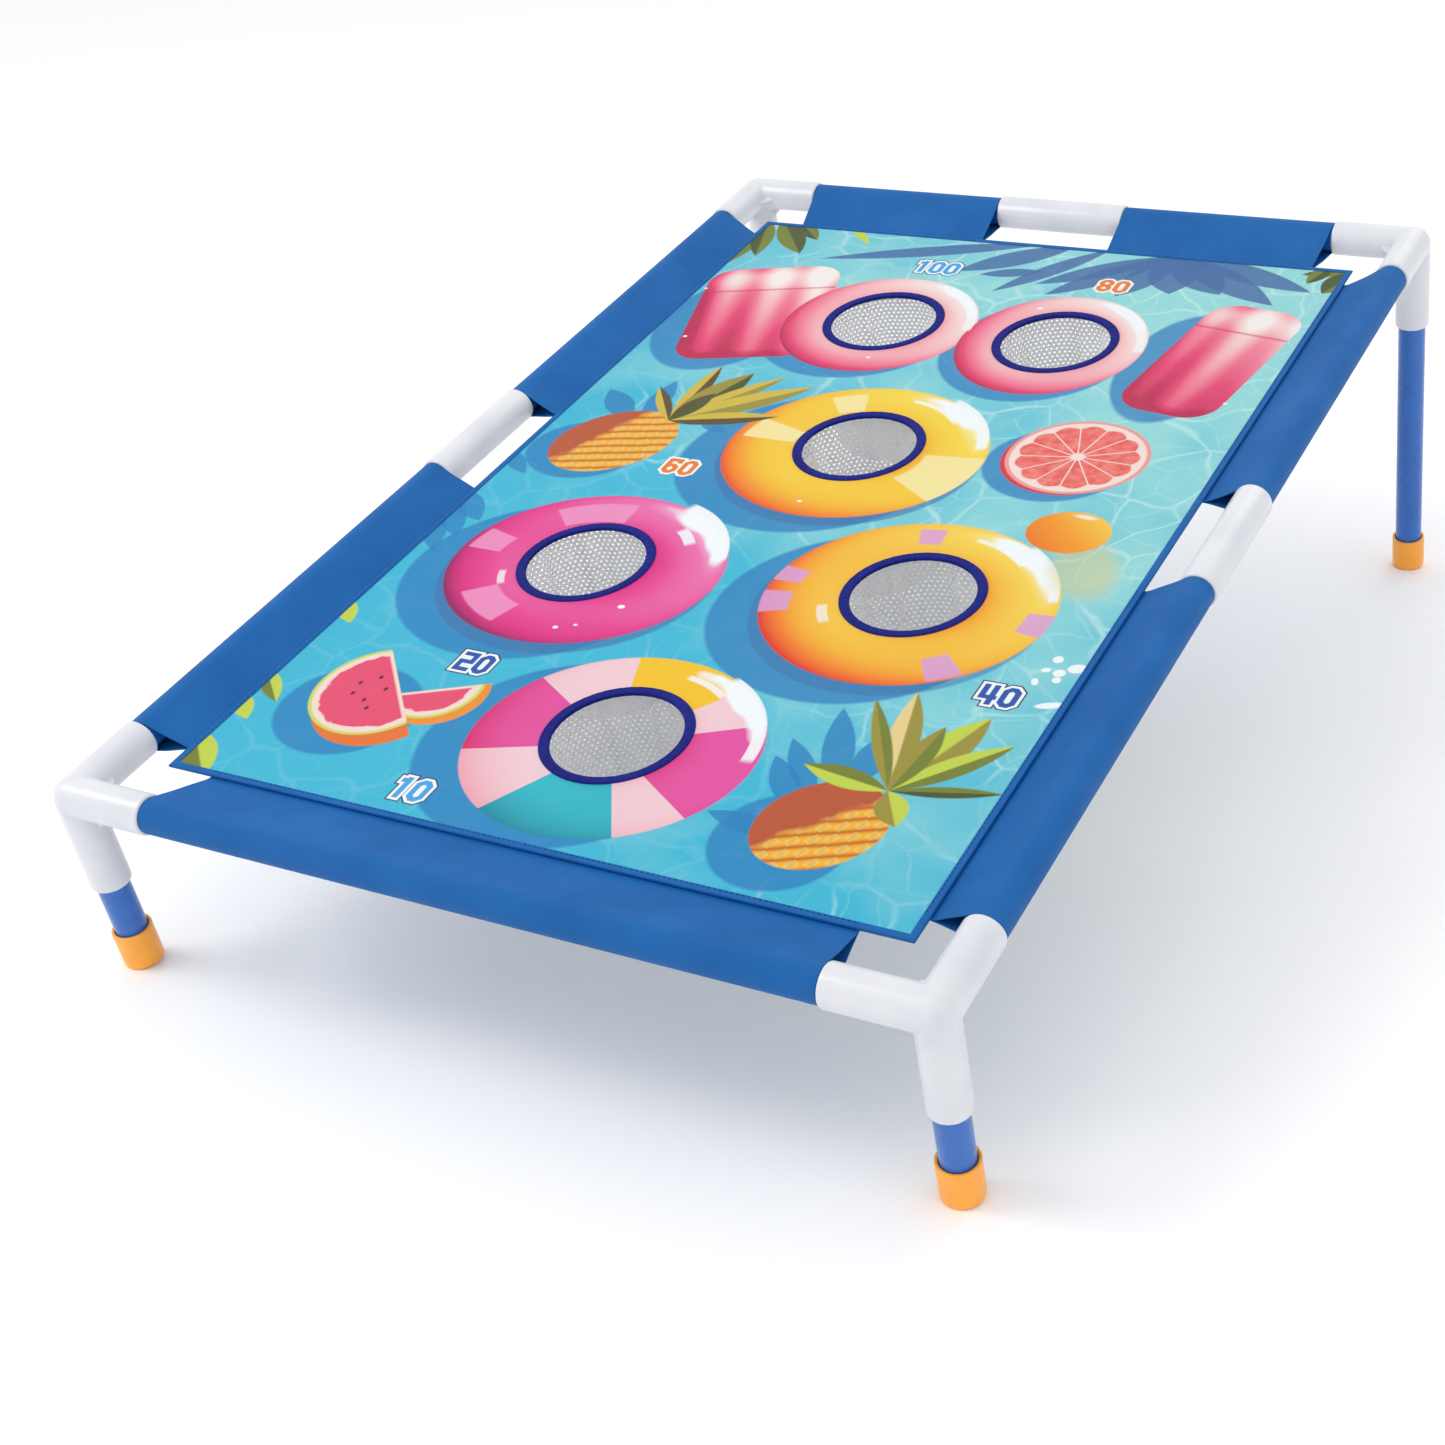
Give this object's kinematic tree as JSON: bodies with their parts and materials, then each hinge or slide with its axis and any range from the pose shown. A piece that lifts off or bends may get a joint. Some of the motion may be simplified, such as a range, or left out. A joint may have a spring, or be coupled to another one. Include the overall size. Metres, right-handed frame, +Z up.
{
  "type": "cornhole board",
  "caption": "Low sloping tube-and-fabric cornhole board on four pull-out legs, with bound target holes that open into net pockets.",
  "frame": {"origin": "on the ground, in the middle of the whole object's box", "axes": "+Z up, +Y along the board's length to its high rear end, +X to the player's right"},
  "size_m": [0.61, 0.9516, 0.3043],
  "materials": {
    "white_plastic": "glossy white",
    "blue_tube": "glossy blue",
    "orange_cap": "semi-gloss orange-yellow",
    "printed_fabric": "taut woven polyester, printed with a swimming pool pattern",
    "blue_fabric": "smooth woven polyester",
    "navy_tape": "woven binding tape",
    "white_net": "fine open net"
  },
  "bodies": {
    "board": {"corner_front_left": "white_plastic", "corner_front_right": "white_plastic", "corner_rear_left": "white_plastic", "corner_rear_right": "white_plastic", "coupler_left": "white_plastic", "coupler_right": "white_plastic", "coupler_rear": "white_plastic", "front_rail": "blue_tube", "rear_rail_left": "blue_tube", "rear_rail_right": "blue_tube", "left_rail_front": "blue_tube", "left_rail_rear": "blue_tube", "right_rail_front": "blue_tube", "right_rail_rear": "blue_tube", "printed_panel": "printed_fabric", "panel_edge_tape": "blue_fabric", "sleeve_front": "blue_fabric", "sleeve_rear_left": "blue_fabric", "sleeve_rear_right": "blue_fabric", "sleeve_left_front": "blue_fabric", "sleeve_left_rear": "blue_fabric", "sleeve_right_front": "blue_fabric", "sleeve_right_rear": "blue_fabric", "hole_tape_10": "navy_tape", "pocket_10": "white_net", "hole_tape_20": "navy_tape", "pocket_20": "white_net", "hole_tape_40": "navy_tape", "pocket_40": "white_net", "hole_tape_60": "navy_tape", "pocket_60": "white_net", "hole_tape_80": "navy_tape", "pocket_80": "white_net", "hole_tape_100": "navy_tape", "pocket_100": "white_net"},
    "leg_front_left": {"leg_tube_front_left": "blue_tube", "foot_front_left": "orange_cap"},
    "leg_front_right": {"leg_tube_front_right": "blue_tube", "foot_front_right": "orange_cap"},
    "leg_rear_left": {"leg_tube_rear_left": "blue_tube", "foot_rear_left": "orange_cap"},
    "leg_rear_right": {"leg_tube_rear_right": "blue_tube", "foot_rear_right": "orange_cap"}
  },
  "joints": [
    {"name": "leg_front_left_pull", "type": "slide", "parent": "board", "child": "leg_front_left", "axis": [0, 0.1773, -0.9842], "range_m": [0, 0.05]},
    {"name": "leg_front_right_pull", "type": "slide", "parent": "board", "child": "leg_front_right", "axis": [0, 0.1773, -0.9842], "range_m": [0, 0.05]},
    {"name": "leg_rear_left_pull", "type": "slide", "parent": "board", "child": "leg_rear_left", "axis": [0, 0.1773, -0.9842], "range_m": [0, 0.05]},
    {"name": "leg_rear_right_pull", "type": "slide", "parent": "board", "child": "leg_rear_right", "axis": [0, 0.1773, -0.9842], "range_m": [0, 0.05]}
  ]
}
